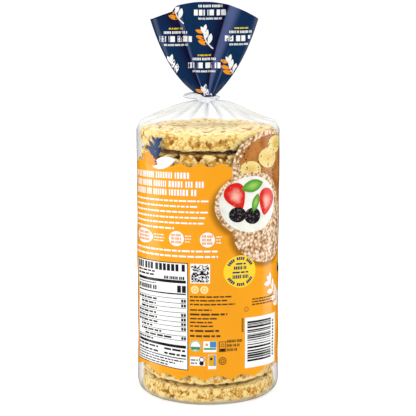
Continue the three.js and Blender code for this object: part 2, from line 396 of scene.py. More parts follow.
class Ink:
    """Print of one finish: flat shapes in millimetres, cut so that they bend, and laid on the film."""

    def __init__(self, name, material, lift, slot="printed_film"):
        self.name = name
        self.material = material
        self.lift = lift
        self.slot = slot
        self.shapes = []

    def add(self, points, x, y, width, height, turn=0.0, ends=(0, 0), ring=0):
        self.shapes.append((points, x, y, width, height, turn, ends, ring))

    def bar(self, left, right, low, high):
        self.add(4, (left + right) / 2, (low + high) / 2, right - left, high - low)

    def frame(self, left, right, low, high, width):
        """Four bars round a rectangle."""
        self.bar(left, right, low, low + width)
        self.bar(left, right, high - width, high)
        self.bar(left, left + width, low, high)
        self.bar(right - width, right, low, high)

    def line(self, start, end, width):
        """A straight stroke from one point to another."""
        run = Vector(end) - Vector(start)
        x, y = (Vector(start) + Vector(end)) / 2
        self.add(4, x, y, run.length, width, math.atan2(run.y, run.x))

    def disc(self, x, y, radius, radius_up=None, points=40):
        self.add(points, x, y, 2 * radius, 2 * (radius_up or radius))

    def leaf(self, x, y, length, width, turn):
        """A round shape drawn out to a point at both ends."""
        self.add(20, x, y, length, width, turn, ends=(0.8, 0))

    def drop(self, x, y, length, width, turn):
        """A round shape that narrows towards one end."""
        self.add(36, x, y, length, width, turn, ends=(0.1, -0.45))

    def ring(self, x, y, radius, width):
        self.add(32, x, y, 2 * radius, 2 * radius, ring=width)

    def words(self, left, right, middle, height, seed):
        """A row of plain marks as long as small words."""
        rng = random.Random(seed)
        place = left
        while place < right - 0.6 * height:
            end = min(place + rng.uniform(1.4, 5.0) * height, right)
            self.bar(place, end, middle - height / 2, middle + height / 2)
            place = end + 0.7 * height

    def capitals(self, left, right, middle, height, seed, width=0.38):
        """A row of upright blocks in groups, as large as capitals. Their width is a share of their height."""
        rng = random.Random(seed)
        place = left
        group = rng.randint(2, 6)
        while place < right - 0.5 * width * height:
            end = min(place + rng.uniform(0.75, 1.25) * width * height, right)
            self.bar(place, end, middle - height / 2, middle + height / 2)
            place = end + 0.19 * height
            group -= 1
            if group == 0:
                place += 0.3 * height
                group = rng.randint(2, 7)

    def draw(self, thing, points, x, y, width, height, turn, ends, ring):
        middle = (x, y, 0)
        fill = "NGON" if ring else "TRIFAN"
        if points == 4:
            bpy.ops.mesh.primitive_plane_add(size=1, location=middle)
        else:
            bpy.ops.mesh.primitive_circle_add(vertices=points, radius=0.5, fill_type=fill, location=middle)
        if points > 4 and not ring:
            self.mark_core(thing, points, middle, *ends)
        bpy.ops.transform.resize(value=(width, height, 1), center_override=middle)
        bpy.ops.transform.rotate(value=-turn, orient_axis="Z", center_override=middle)
        if ring:
            bpy.ops.mesh.inset(thickness=ring)
            bpy.ops.mesh.delete(type="FACE")

    def mark_core(self, thing, points, middle, pinch, taper):
        """Marks the middle of the last disc drawn, draws its ends out to points and narrows one of them."""
        bpy.ops.object.mode_set(mode="OBJECT")
        places = points_of(thing)
        right, up, _ = (places[-points:] - middle).T
        places[-points:, 1] = middle[1] + up * np.abs(2 * up) ** pinch * (1 + 2 * taper * right)
        thing.data.attributes["core"].data[len(places) - points - 1].value = 1.0
        move_points(thing, places)
        bpy.ops.object.mode_set(mode="EDIT")

    def cut(self, thing):
        """Cuts the flat print into squares small enough to bend with the film."""
        flat = points_of(thing)
        bpy.ops.object.mode_set(mode="EDIT")
        for axis in (0, 1):
            first = math.ceil(flat[:, axis].min() / INK_CUT)
            last = math.floor(flat[:, axis].max() / INK_CUT)
            for step in range(first, last + 1):
                place = [0, 0, 0]
                place[axis] = step * INK_CUT
                normal = [0, 0, 0]
                normal[axis] = 1
                bpy.ops.mesh.select_all(action="SELECT")
                bpy.ops.mesh.bisect(plane_co=place, plane_no=normal)
        bpy.ops.object.mode_set(mode="OBJECT")

    def lay(self, place=print_place, inside=None):
        """Draws the shapes, lays them where place puts them and keeps the points where inside is true."""
        bpy.ops.object.select_all(action="DESELECT")
        bpy.ops.object.add(type="MESH")
        thing = named(self.name)
        thing.data.attributes.new("core", "FLOAT", "POINT")
        bpy.ops.object.mode_set(mode="EDIT")
        for shape in self.shapes:
            self.draw(thing, *shape)
        bpy.ops.object.mode_set(mode="OBJECT")
        self.cut(thing)
        if inside is not None:
            flat = points_of(thing)
            bpy.ops.object.mode_set(mode="EDIT")
            bpy.ops.mesh.select_all(action="DESELECT")
            bpy.ops.object.mode_set(mode="OBJECT")
            thing.data.vertices.foreach_set("select", ~inside(flat[:, 0], flat[:, 1]))
            bpy.ops.object.mode_set(mode="EDIT")
            bpy.ops.mesh.delete(type="VERT")
            bpy.ops.object.mode_set(mode="OBJECT")
        flat = points_of(thing)
        move_points(thing, place(flat[:, 0], flat[:, 1], self.lift) * MM)
        apply_modifier(thing, "SOLIDIFY", thickness=INK_THICKNESS * MM, offset=-1)
        thing.data.materials.append(self.material)
        shade_smooth(thing, 30)
        return keep(thing, self.slot)


# Material tools


def colour(code):
    """A colour code such as F7A21C as linear red, green, blue and alpha."""
    parts = [int(code[i : i + 2], 16) / 255 for i in (0, 2, 4)]
    linear = [c / 12.92 if c <= 0.04045 else ((c + 0.055) / 1.055) ** 2.4 for c in parts]
    return (*linear, 1)


class Value:
    """A number in a material, on which arithmetic adds Math nodes."""

    def __init__(self, finish, socket):
        self.finish = finish
        self.socket = socket

    def math(self, operation, first, second):
        return self.finish.value("ShaderNodeMath", {0: first, 1: second}, operation=operation)

    def __add__(self, other):
        return self.math("ADD", self, other)

    def __sub__(self, other):
        return self.math("SUBTRACT", self, other)

    def __mul__(self, other):
        return self.math("MULTIPLY", self, other)

    def __truediv__(self, other):
        return self.math("DIVIDE", self, other)

    def __pow__(self, other):
        return self.math("POWER", self, other)

    def __radd__(self, other):
        return self.math("ADD", other, self)

    def __rsub__(self, other):
        return self.math("SUBTRACT", other, self)

    def __rmul__(self, other):
        return self.math("MULTIPLY", other, self)

    def clamped(self):
        return self.finish.value("ShaderNodeClamp", {0: self})

    def steps(self, low, high):
        """0 below low, 1 above high, smooth between."""
        inputs = {0: self, 1: low, 2: high}
        return self.finish.value("ShaderNodeMapRange", inputs, interpolation_type="SMOOTHSTEP")


class Finish:
    """A material under construction."""

    def __init__(self, name):
        self.material = bpy.data.materials.new(name)
        self.material.use_nodes = True
        self.tree = self.material.node_tree
        self.tree.nodes.clear()
        self.output = self.node("ShaderNodeOutputMaterial", {})

    def node(self, kind, inputs, **settings):
        made = self.tree.nodes.new(kind)
        for key, setting in settings.items():
            setattr(made, key, setting)
        for key, given in inputs.items():
            if isinstance(given, Value):
                given = given.socket
            if isinstance(given, bpy.types.NodeSocket):
                self.tree.links.new(given, made.inputs[key])
            else:
                made.inputs[key].default_value = given
        return made

    def value(self, kind, inputs, output=0, **settings):
        return Value(self, self.node(kind, inputs, **settings).outputs[output])

    def place(self):
        return self.node("ShaderNodeTexCoord", {}).outputs["Object"]

    def noise(self, size_mm, detail=3, roughness=0.55):
        inputs = {"Vector": self.place(), "Scale": 1 / (size_mm * MM)}
        inputs.update({"Detail": detail, "Roughness": roughness})
        return self.value("ShaderNodeTexNoise", inputs, output="Fac")

    def cells(self, size_mm):
        """How far each point lies from the middle of its cell."""
        inputs = {"Vector": self.place(), "Scale": 1 / (size_mm * MM)}
        return self.value("ShaderNodeTexVoronoi", inputs, output="Distance")

    def attribute(self, name):
        return self.value("ShaderNodeAttribute", {}, output="Fac", attribute_name=name)

    def mix(self, factor, first, second):
        """A colour between two others. A Mix node takes colours at 6 and 7 and gives one at 2."""
        return self.node("ShaderNodeMix", {0: factor, 6: first, 7: second}, data_type="RGBA").outputs[2]

    def bump(self, height, strength, distance_mm):
        inputs = {"Height": height, "Strength": strength, "Distance": distance_mm * MM}
        return self.node("ShaderNodeBump", inputs).outputs["Normal"]

    def surface(self, **inputs):
        """The main shader, joined to the output."""
        names = {key.replace("_", " ").title(): given for key, given in inputs.items()}
        if "Ior" in names:
            names["IOR"] = names.pop("Ior")
        if "Specular Ior Level" in names:
            names["Specular IOR Level"] = names.pop("Specular Ior Level")
        shader = self.node("ShaderNodeBsdfPrincipled", names)
        self.tree.links.new(shader.outputs[0], self.output.inputs[0])
        return shader


def film_surface(finish, shade, specular=0.45, ripple_mm=14, depth=0.12, **more):
    """Glossy thin film with a slight unevenness."""
    rough = finish.noise(9, detail=2) * 0.08 + 0.14
    ripple = finish.bump(finish.noise(ripple_mm, detail=2), depth, 0.6)
    finish.surface(base_color=shade, roughness=rough, normal=ripple, specular_ior_level=specular, **more)
    return finish.material


def print_finish(name, base, other, size_mm=3.0, amount=0.35, core=None):
    """Ink under the film's gloss: a colour, a faint second one, and a third towards each shape's middle."""
    finish = Finish(name)
    cloud = finish.noise(size_mm, detail=4)
    shade = finish.mix(cloud.steps(0.35, 0.7) * amount, colour(base), colour(other))
    if core:
        shade = finish.mix(finish.attribute("core").steps(0.05, 0.95), shade, colour(core))
    return film_surface(finish, shade)


def orange_film():
    finish = Finish("orange_film")
    cloud = finish.noise(30, detail=2)
    shade = finish.mix(cloud.steps(0.3, 0.75) * 0.3, colour("E0930F"), colour("E59A1C"))
    dimmed = finish.mix(finish.attribute("shade"), shade, colour("7A4A08"))
    return film_surface(finish, dimmed)


def clear_film():
    """Film that lets most light through: milky where gathered, with painted shade in its folds and a grey
    painted shade on the wall where it is seen edge-on.
    """
    finish = Finish("clear_film")
    haze = finish.attribute("haze")
    wall = finish.attribute("wall")
    edge = finish.value("ShaderNodeLayerWeight", {0: 0.5}, output="Facing")
    alpha = (haze + (edge**3) * (wall * 0.6 + 0.06)).clamped()
    milky = finish.mix(haze.steps(0.1, 0.6), colour("D2D5D8"), colour("DDDFE1"))
    # Painted shade in the folds, and on the wall a grey painted shade that shows where the film is seen
    # edge-on.
    painted_fold_shade = finish.mix(finish.attribute("fold"), milky, colour("B9BCC0"))
    tone = finish.mix(wall, painted_fold_shade, colour("7F838A"))
    return film_surface(finish, tone, specular=0.12, ripple_mm=20, depth=0.04, alpha=alpha)


def navy_film():
    finish = Finish("navy_film")
    cloud = finish.noise(22, detail=3)
    shade = finish.mix(cloud.steps(0.35, 0.7) * 0.6, colour("082A4C"), colour("101F45"))
    # Painted shade in and to the left of the fan's creases, then painted highlight bands to the right of
    # them.
    with_painted_shade = finish.mix(finish.attribute("dark"), shade, colour("120A2C"))
    with_painted_highlight = finish.mix(finish.attribute("painted_highlight"), with_painted_shade, colour("4C5780"))
    return film_surface(finish, with_painted_highlight, specular=0.3, ripple_mm=10, depth=0.18)


def white_film():
    finish = Finish("white_film")
    cloud = finish.noise(4, detail=4)
    shade = finish.mix(cloud.steps(0.35, 0.7), colour("C6C8CB"), colour("D6D8DA"))
    return film_surface(finish, shade, specular=0.3, ripple_mm=8, depth=0.08)


def puffed_rice():
    """Puffed grains: cream on their crests, yellow below them and brown in the creases, partly their toasted
    colour and partly painted shade, with a dark painted shadow in deep recesses.
    """
    finish = Finish("puffed_rice")
    hollow = finish.attribute("hollow")
    crevice = finish.attribute("crevice")
    tone = finish.attribute("tone")
    face = finish.attribute("face")
    cloud = finish.noise(5.0, detail=4, roughness=0.6)
    patch = finish.noise(1.2, detail=3)
    uneven = (cloud - 0.5) * 0.7 + (patch - 0.5) * 1.0 + (tone - 0.5) * 0.3
    # Yellow and brown towards the hollows and creases: partly the grains' own toasted colour, partly painted
    # shade.
    yellow = (hollow * 0.1 + crevice * 0.12 + uneven - face * 0.1).steps(-0.16, 0.2)
    brown = (crevice * 0.26 + hollow * 0.14 + (patch - 0.5) * 0.9).steps(0.35, 0.85)
    cream = finish.mix(face * 0.85, colour("ECD48C"), colour("FFF0BA"))
    golden = finish.mix(face * 0.85, colour("C68F24"), colour("EEC15C"))
    creased = finish.mix(face * 0.8, colour("8A5218"), colour("D0A04C"))
    puffed = finish.mix(yellow, cream, golden)
    toast_and_painted_crease_shade = finish.mix(brown * 0.8, puffed, creased)
    # Painted shadow: dark maroon deep inside a cake's outline near its upper side, as in the broken rim.
    shade = finish.mix(finish.attribute("depth").steps(3.4, 5.4) * 0.7, toast_and_painted_crease_shade, colour("5E3012"))
    relief = finish.bump(patch + cloud, 0.8, 0.8)
    finish.surface(base_color=shade, roughness=0.55, normal=relief, specular_ior_level=0.3)
    return finish.material


def pictured_grains(name, pale, tan, brown, size_mm=2.4):
    """A picture of pressed grains: pale middles, tan rims and brown gaps."""
    finish = Finish(name)
    cell = finish.cells(size_mm)
    cloud = finish.noise(size_mm, detail=3)
    rim = finish.mix((cell + (cloud - 0.5) * 1.2).steps(0.2, 0.6), colour(pale), colour(tan))
    gap = finish.mix((cell + (cloud - 0.5) * 1.6).steps(0.55, 0.85), rim, colour(brown))
    return film_surface(finish, gap)


def pictured_spread():
    """A picture of brown spread with swirls and dark specks."""
    finish = Finish("pictured_spread")
    swirl = finish.noise(13, detail=2).steps(0.4, 0.6)
    speck = (1 - finish.cells(2.1).steps(0.24, 0.34)) * finish.noise(9).steps(0.36, 0.46)
    shade = finish.mix(swirl * 0.8, colour("9C5F28"), colour("B5783C"))
    return film_surface(finish, finish.mix(speck, shade, colour("2E2220")))


def pictured_slice():
    """A picture of a pale yellow slice: yellow in the middle, with a few specks."""
    finish = Finish("pictured_slice")
    core = finish.attribute("core")
    shade = finish.mix(core.steps(0.15, 0.9), colour("D9C480"), colour("CFAC55"))
    speck = (1 - finish.cells(2.0).steps(0.22, 0.32)) * finish.noise(6).steps(0.42, 0.5)
    return film_surface(finish, finish.mix(speck, shade, colour("3A3026")))


def pictured_dark_fruit():
    """A picture of a dark fruit made of small round beads."""
    finish = Finish("pictured_dark_fruit")
    bead = finish.cells(2.0)
    shade = finish.mix(bead.steps(0.12, 0.5), colour("5A5558"), colour("1A1719"))
    return film_surface(finish, shade)


def pictured_red_fruit():
    """A picture of a cut red fruit with a pale middle and yellow seeds near its edge."""
    finish = Finish("pictured_red_fruit")
    core = finish.attribute("core")
    cloud = finish.noise(3, detail=2)
    flesh = finish.mix((core + (cloud - 0.5) * 0.5).steps(0.25, 0.95), colour("C81B14"), colour("E3A695"))
    seed = (1 - finish.cells(1.8).steps(0.14, 0.22)) * (1 - core.steps(0.3, 0.5))
    return film_surface(finish, finish.mix(seed * 0.6, flesh, colour("E98A4A")))


FILM_MATERIALS = {
    "orange": orange_film(),
    "clear": clear_film(),
    "navy": navy_film(),
    "white": white_film(),
}
PRINTS = {
    "white": print_finish("white_ink", "E4E4E3", "DBDCDD"),
    "black": print_finish("black_ink", "1C1B1D", "262528"),
    "brown": print_finish("brown_ink", "4A3A22", "3D3428"),
    "navy": print_finish("navy_ink", "123564", "1A2F58"),
    "yellow": print_finish("yellow_ink", "E8C42A", "E2BC26"),
    "gold": print_finish("gold_ink", "D39A16", "C98F12"),
    "cream": print_finish("cream_ink", "F2D592", "EBCB84"),
    "orange": print_finish("orange_ink", "E0860C", "E89A22"),
    "green": print_finish("green_ink", "2E8B57", "257A4B"),
    "blue": print_finish("blue_ink", "3B82B8", "2F72A6"),
    "leaf": print_finish("leaf_ink", "4F8F2B", "3F7A22", core="8CBB55"),
    "spread_cream": print_finish("pictured_cream", "DEDED6", "C8C9BF", size_mm=9, amount=0.8),
    "plain_cake": pictured_grains("pictured_grains", "DECFB9", "BE976F", "865B35"),
    "cake_rim": pictured_grains("pictured_rim", "E0D2BA", "C09C72", "8C6038", size_mm=2.0),
    "spread": pictured_spread(),
    "slice": pictured_slice(),
    "dark_fruit": pictured_dark_fruit(),
    "red_fruit": pictured_red_fruit(),
}


# Pictured cakes on the front: middle across and up, then half their width and half their height
SPREAD_CAKE = (50.0, 158.0, 33.5, 30.5)
CREAM_CAKE = (33.3, 135.3, 29.0, 22.3)
PLAIN_CAKE = (46.0, 117.0, 29.0, 22.5)

# Film round the stack

FILM_COLUMNS = 360
FOLD_ROWS = 14
LOWER_ROWS = 10
BAND_ROWS = 84
UPPER_ROWS = 12
SHOULDER_ROWS = 44


SCALLOP_COUNT = 17
SCALLOP_TURN = 0.132
SCALLOP_RISE = 3.8
SIDE_RISE = 7.2
BACK_RISE = 2.5
WAVE_COUNT = 22
WAVE_TURN = 0.108
WAVE_RISE = 1.2
EMBLEM_RISE = 3.4
EMBLEM_MIDDLE = -50.0


def band_edges(angle):
    """The lower and upper edge of the printed band, as heights of the wall."""
    turn = wrapped(angle + math.pi / 2)
    arch = PRINT_ARCH * np.maximum(0, np.cos(turn))
    scallop = SCALLOP_RISE * np.abs(np.cos(SCALLOP_COUNT * (turn - SCALLOP_TURN) / 2)) ** 0.8
    side = SIDE_RISE * hump(np.abs(turn) - 1.08, 0.33)
    lower = BAND_BOTTOM + np.maximum(scallop, side) + BACK_RISE * (1 - np.cos(turn)) / 2 + arch
    wave = WAVE_RISE * np.cos(WAVE_COUNT * (turn + WAVE_TURN))
    upper = BAND_TOP + wave + EMBLEM_RISE * hump(turn * BAG_RADIUS - EMBLEM_MIDDLE, 15) + arch
    return lower, upper


def picture_shade(angle, along):
    """The soft shadows printed beside the pictured cakes, 0 to 1."""
    turn = wrapped(angle + math.pi / 2)
    level = along - PRINT_ARCH * np.maximum(0, np.cos(turn))
    shade = np.zeros_like(angle)
    for x, y, radius, radius_up in (PLAIN_CAKE, CREAM_CAKE):
        away = np.hypot((turn * BAG_RADIUS - x + 2.0) / radius, (level - y + 2.2) / radius_up)
        shade = np.maximum(shade, 0.75 * (1 - smooth_step(0.94, 1.12, away)))
    return shade


# How much of the light the clear film stops: on the wall, over the top cake, at the neck and elsewhere
WALL_HAZE = 0.03
SHOULDER_HAZE = 0.11
NECK_HAZE = 0.72
OUTER_HAZE = 0.3
CREASE_HAZE = 0.15
FOLD_HAZE = 0.25


def film_haze(angle, share, crease):
    """The haze up the shoulder, where share runs from 0 at the wall to 1 at the neck."""
    outer = smooth_step(0.6, 0.9, np.abs(np.cos(angle)))
    haze = WALL_HAZE + SHOULDER_HAZE * smooth_step(0.05, 0.2, share)
    haze = haze + NECK_HAZE * smooth_step(0.4, 0.85, share)
    haze = haze + OUTER_HAZE * outer * smooth_step(0.16, 0.3, share) * (1 - smooth_step(0.45, 0.8, share))
    return haze + CREASE_HAZE * crease * smooth_step(0.5, 0.85, share)


def bag_film():
    counts = [FOLD_ROWS, LOWER_ROWS, BAND_ROWS, UPPER_ROWS, SHOULDER_ROWS]
    rows = sum(counts)
    sheet = grid_sheet("bag_film", FILM_COLUMNS, rows)
    flat = points_of(sheet)
    angle = flat[:, 0] * FULL_TURN
    row = np.rint(flat[:, 1] * rows)
    stops = np.concatenate([[0], np.cumsum(counts)])
    lower, upper = band_edges(angle)
    fold_share = np.clip(row / FOLD_ROWS, 0, 1)
    fold = curve_through(BASE_FOLD, fold_share)
    levels = [BASE_FOLD_HEIGHT, lower, upper, SHOULDER_START, FILM_LENGTH]
    along = np.full_like(angle, BASE_FOLD_HEIGHT)
    for i in range(1, len(counts)):
        share = np.clip((row - stops[i]) / counts[i], 0, 1)
        along = along + (levels[i] - levels[i - 1]) * share
    places = film_place(angle, along)
    in_fold = row < FOLD_ROWS
    places[in_fold] = polar(fold[:, 0], angle, np.maximum(fold[:, 1], 0))[in_fold]
    share = np.interp(along - SHOULDER_START, LINE_LENGTHS, LINE_SHARES)
    crease = 1 - gather(angle)
    fold_haze = WALL_HAZE + FOLD_HAZE * hump(fold_share - 0.62, 0.1)
    haze = np.where(row <= FOLD_ROWS, fold_haze, film_haze(angle, share, crease))
    move_points(sheet, places * MM)
    add_value(sheet, "haze", haze)
    # The wall's mask: there the clear film is a grey painted shade that shows where it is seen edge-on.
    add_value(sheet, "wall", 1 - smooth_step(0.0, 0.16, share))
    # Painted shade along the gathers' creases up the shoulder.
    add_value(sheet, "fold", smooth_step(0.15, 0.75, crease) * smooth_step(0.25, 0.6, share))
    add_value(sheet, "shade", picture_shade(angle, along))
    sheet.data.materials.append(FILM_MATERIALS["clear"])
    sheet.data.materials.append(FILM_MATERIALS["orange"])
    rows_of_faces = np.array([face.vertices[0] for face in sheet.data.polygons]) // (FILM_COLUMNS + 1)
    printed = (rows_of_faces >= stops[2]) & (rows_of_faces < stops[3])
    sheet.data.polygons.foreach_set("material_index", printed.astype(int))
    merge_doubles(sheet)
    shade_smooth(sheet, 180)
    sheet.visible_shadow = False
    return keep(sheet, "printed_film", "bag")


FAN_COLUMNS = 360
FAN_ROWS = 56
FAN_START = -1.6
# How far across the fan the thin painted highlight streak runs.
PAINTED_HIGHLIGHT_STREAK = 0.63


def fan_tones(angle, share):
    """Painted shade in each crease of the fan and to its left, and painted highlights to its right and along
    one streak.
    """
    across = np.cos(angle)
    dark = np.zeros_like(angle)
    painted_highlight = np.zeros_like(angle)
    for creases, facing in ((FRONT_CREASES, np.sin(angle) <= 0), (BACK_CREASES, np.sin(angle) > 0)):
        for index, (low, high) in enumerate(creases):
            beside = across - lerp(low, high, share)
            left = hump(beside, 0.15) * (beside <= 0)
            right = hump(beside, 0.025) * (beside > 0)
            dark = np.maximum(dark, facing * (0.85 * left + right))
            width = lerp(0.13, 0.3, index)
            band = smooth_step(0.02, 0.05, beside) * (1 - smooth_step(0.45 * width, width, beside))
            painted_highlight = np.maximum(painted_highlight, facing * band)
        streak = hump(across - PAINTED_HIGHLIGHT_STREAK, 0.03) * (1 - smooth_step(0.35, 0.6, share))
        painted_highlight = np.maximum(painted_highlight, facing * streak)
    return dark, 0.85 * painted_highlight


def fan_film():
    sheet = grid_sheet("fan_film", FAN_COLUMNS, FAN_ROWS)
    flat = points_of(sheet)
    angle = flat[:, 0] * FULL_TURN
    distance = lerp(FAN_START, FAN_LENGTH, flat[:, 1])
    move_points(sheet, fan_place(angle, distance) * MM)
    dark, painted_highlight = fan_tones(angle, np.maximum(distance, 0) / FAN_LENGTH)
    # The masks of the painted crease shade and painted highlights that the navy film mixes into its colour.
    add_value(sheet, "dark", dark)
    add_value(sheet, "painted_highlight", painted_highlight)
    merge_doubles(sheet)
    apply_modifier(sheet, "SOLIDIFY", thickness=FILM_THICKNESS * MM, offset=-1)
    sheet.data.materials.append(FILM_MATERIALS["navy"])
    shade_smooth(sheet, 50)
    return keep(sheet, "navy_film")


WRAP_SECTORS = 240
WRAP_POINTS = 36


def crest_height(radius):
    """The height of the shoulder's crests at a radius near the neck."""
    order = np.argsort(LINE_POINTS[:, 0])
    return STACK_TOP + np.interp(radius, LINE_POINTS[order, 0], LINE_POINTS[order, 1])


def neck_wrap():
    """A ring of crumpled film: its section runs out along the shoulder and back over a bulge."""
    sheet = grid_sheet("neck_wrap_film", WRAP_SECTORS, WRAP_POINTS)
    flat = points_of(sheet)
    angle = flat[:, 0] * FULL_TURN
    round_trip = flat[:, 1] * 2
    share = np.where(round_trip <= 1, round_trip, 2 - round_trip)
    from_flap = wrapped(angle - math.pi)
    flap = WRAP_FLAP_REACH * hump(from_flap, WRAP_FLAP_SPREAD)
    flap_rise = WRAP_FLAP_RISE * hump(from_flap, 2 * WRAP_FLAP_SPREAD)
    cut = WRAP_CUT * smooth_step(0, 1, np.cos(angle))
    reach = WRAP_RADIUS + flap - cut + 0.9 * np.sin(3 * angle + 0.4) + 0.6 * np.sin(7 * angle + 1.3)
    lift = WRAP_LIFT * (0.25 + 0.75 * smooth_step(0.2, 1, -np.cos(angle)))
    ruffle = 0.5 + 0.5 * np.sin(9 * angle + 0.8) * np.cos(4 * angle)
    inner = NECK_RADIUS + CLEARANCE
    under_radius = lerp(inner, reach, share)
    under = crest_height(under_radius) + CLEARANCE + (WRAP_RUFFLE * ruffle + flap_rise) * share**2
    over_radius = lerp(inner + WRAP_MOUTH, reach, share)
    crumple = crinkle(angle, share * 9, 23, waves=11, highest=24, longest=0.9)
    bulge = lift * np.sin(math.pi * share**0.8)
    over = under + WRAP_THICKNESS * (1 - 0.6 * share) + bulge
    over = over + WRAP_CRUMPLE * crumple * np.sin(math.pi * share)
    is_over = round_trip > 1
    radius = np.where(is_over, over_radius, under_radius)
    height = np.where(is_over, over, under)
    move_points(sheet, polar(radius, angle, height) * MM)
    merge_doubles(sheet)
    sheet.data.materials.append(FILM_MATERIALS["white"])
    shade_smooth(sheet, 60)
    sheet.visible_shadow = False
    return keep(sheet, "white_film", "neck_wrap")


# Print on the front

PRINT_LEFT = -69.0
TEXT_LEFT = -12.4

# How far the layers of ink stand off the film
LOW = 0.06
MIDDLE = 0.11
PICTURE_STEP = 0.04


def heading():
    """The heading, the text under it and the three round marks with the two lines below them."""
    white = Ink("white_print", PRINTS["white"], LOW)
    for level, right, seed in ((155.3, -12.3, 1), (149.4, -0.7, 2), (143.8, -6.8, 3)):
        white.capitals(PRINT_LEFT, right, level, 4.2, seed, width=0.32)
    for row, right in enumerate((1.3, -6.0, 0.0, -1.0, -3.0, -24.0)):
        white.words(PRINT_LEFT, right, 138.2 - 3.77 * row, 1.15, 10 + row)
    inset = Ink("orange_marks", PRINTS["orange"], MIDDLE)
    for across, reach, level in ((-54.5, 12.0, 112.4), (-22.2, 5.6, 112.4), (-0.4, 5.1, 112.0)):
        white.disc(across, level, reach, 5.1)
        for row in range(3):
            middle = level + 2.4 - 2.4 * row
            inset.capitals(across - 0.7 * reach, across + 0.7 * reach, middle, 1.7, 20 + row)
            white.words(across + reach + 1.0, across + 1.9 * reach, level + 2.0 - 2.0 * row, 0.7, 30 + row)
    for row in range(2):
        white.words(PRINT_LEFT - 1, 6.8, 104.1 - 3.7 * row, 1.25, 40 + row)
    return white, inset


def facts_panel(white, black):
    """The table's field: a black rim round a white panel. Gives the left and right ends of its rows."""
    left, right, low, high = -66.0, -13.7, 21.0, 96.0
    rim = 0.6
    black.bar(left, right, low, high)
    white.bar(left + rim, right - rim, low + rim, high - rim)
    return left + 2.0, right - 1.6


# The table's labels: how far each is set in, how long it is and whether a value stands at the right
LABELS = [
    (0, 25, True),
    (5, 19, True),
    (5, 20, False),
    (0, 25, True),
    (0, 25, True),
    (0, 27, True),
    (5, 15, True),
    (5, 24, False),
    (11, 27, True),
    (0, 21, False),
]


def facts_rows(ink, left, right):
    ink.capitals(left, right, 92.3, 4.8, 51, width=0.5)
    ink.words(left, left + 23, 88.4, 1.2, 52)
    ink.words(left, left + 22, 86.0, 1.3, 53)
    ink.capitals(right - 17, right, 85.2, 2.1, 54, width=0.45)
    ink.bar(left, right, 81.7, 83.7)
    ink.words(left + 1, left + 24, 80.3, 0.7, 56)
    ink.capitals(left, left + 26, 77.3, 3.1, 55, width=0.5)
    ink.bar(right - 6.4, right - 3.6, 75.2, 80.0)
    ink.bar(right - 2.8, right, 75.2, 80.0)
    ink.bar(left, right, 73.7, 74.6)
    for row, (indent, length, valued) in enumerate(LABELS):
        level = 69.4 - 3.27 * row
        start = left + indent
        ink.words(start, start + length, level, 1.35, 60 + row)
        ink.bar(start, right, level + 1.45, level + 1.8)
        if valued:
            ink.bar(right - 3.4, right - 1.9, level - 1.0, level + 0.9)
            ink.bar(right - 1.5, right, level - 1.0, level + 0.9)
    ink.bar(left, right, 36.2, 38.2)
    for row in range(2):
        ink.words(left, left + 26, 34.4 - 3.3 * row, 1.4, 80 + row)
        ink.words(right - 17, right, 34.4 - 3.3 * row, 1.4, 84 + row)
    ink.bar(left, right, 28.5, 29.2)
    for row in range(3):
        ink.words(left, right - 2 - 6 * row, 26.9 - 2.0 * row, 0.9, 90 + row)


def square_code(white, black):
    """A square of small blocks in chance order, which holds no message."""
    left, low, side, count = -12.1, 82.1, 13.5, 17
    white.bar(left, left + side, low, low + side)
    step = (side - 1.6) / count
    rng = random.Random(7)
    for row in range(count):
        for column in range(count):
            if rng.random() < 0.5:
                x = left + 0.8 + column * step
                y = low + 0.8 + row * step
                black.bar(x, x + step, y, y + step)


def line_code(white, black):
    """A panel of level lines of chance widths."""
    left, right, low, high = 26.5, 60.5, 21.5, 57.0
    white.bar(left, right, low, high)
    rng = random.Random(12)
    level = low + 4.5
    while level < high - 4.0:
        thick = rng.choice((0.35, 0.7, 1.05, 1.4))
        black.bar(left + 2.0, right - 7.5, level, level + thick)
        level += thick + rng.choice((0.35, 0.7, 1.05))
    for row in range(12):
        black.bar(right - 5.4, right - 3.6, low + 5.5 + 2.2 * row, low + 6.8 + 2.2 * row)


def small_text(ink):
    """The dark lines to the right of the table and beside the line code."""
    rows = ((72.7, 16.5), (70.1, 14.4), (67.4, 19.0), (63.6, 2.5), (60.5, 13.4))
    rows += ((57.6, 6.8), (55.0, 2.8), (52.4, 3.5), (49.1, 7.5), (45.5, 8.5))
    for row, (level, right) in enumerate(rows):
        height = 1.35 if row in (4, 8, 9) else 1.0
        ink.words(TEXT_LEFT, right, level, height, 100 + row)
    for row in range(3):
        ink.words(32.5, 58 - row, 69.6 - 1.9 * row, 0.9, 120 + row)
        ink.capitals(13.1, 24.2 - 2 * row, 41.6 - 3.0 * row, 1.9, 130 + row)
    ink.ring(27.7, 63.1, 1.7, 0.35)
    for row in range(7):
        ink.bar(23.9, 25.4, 47.6 + 1.4 * row, 48.5 + 1.4 * row)


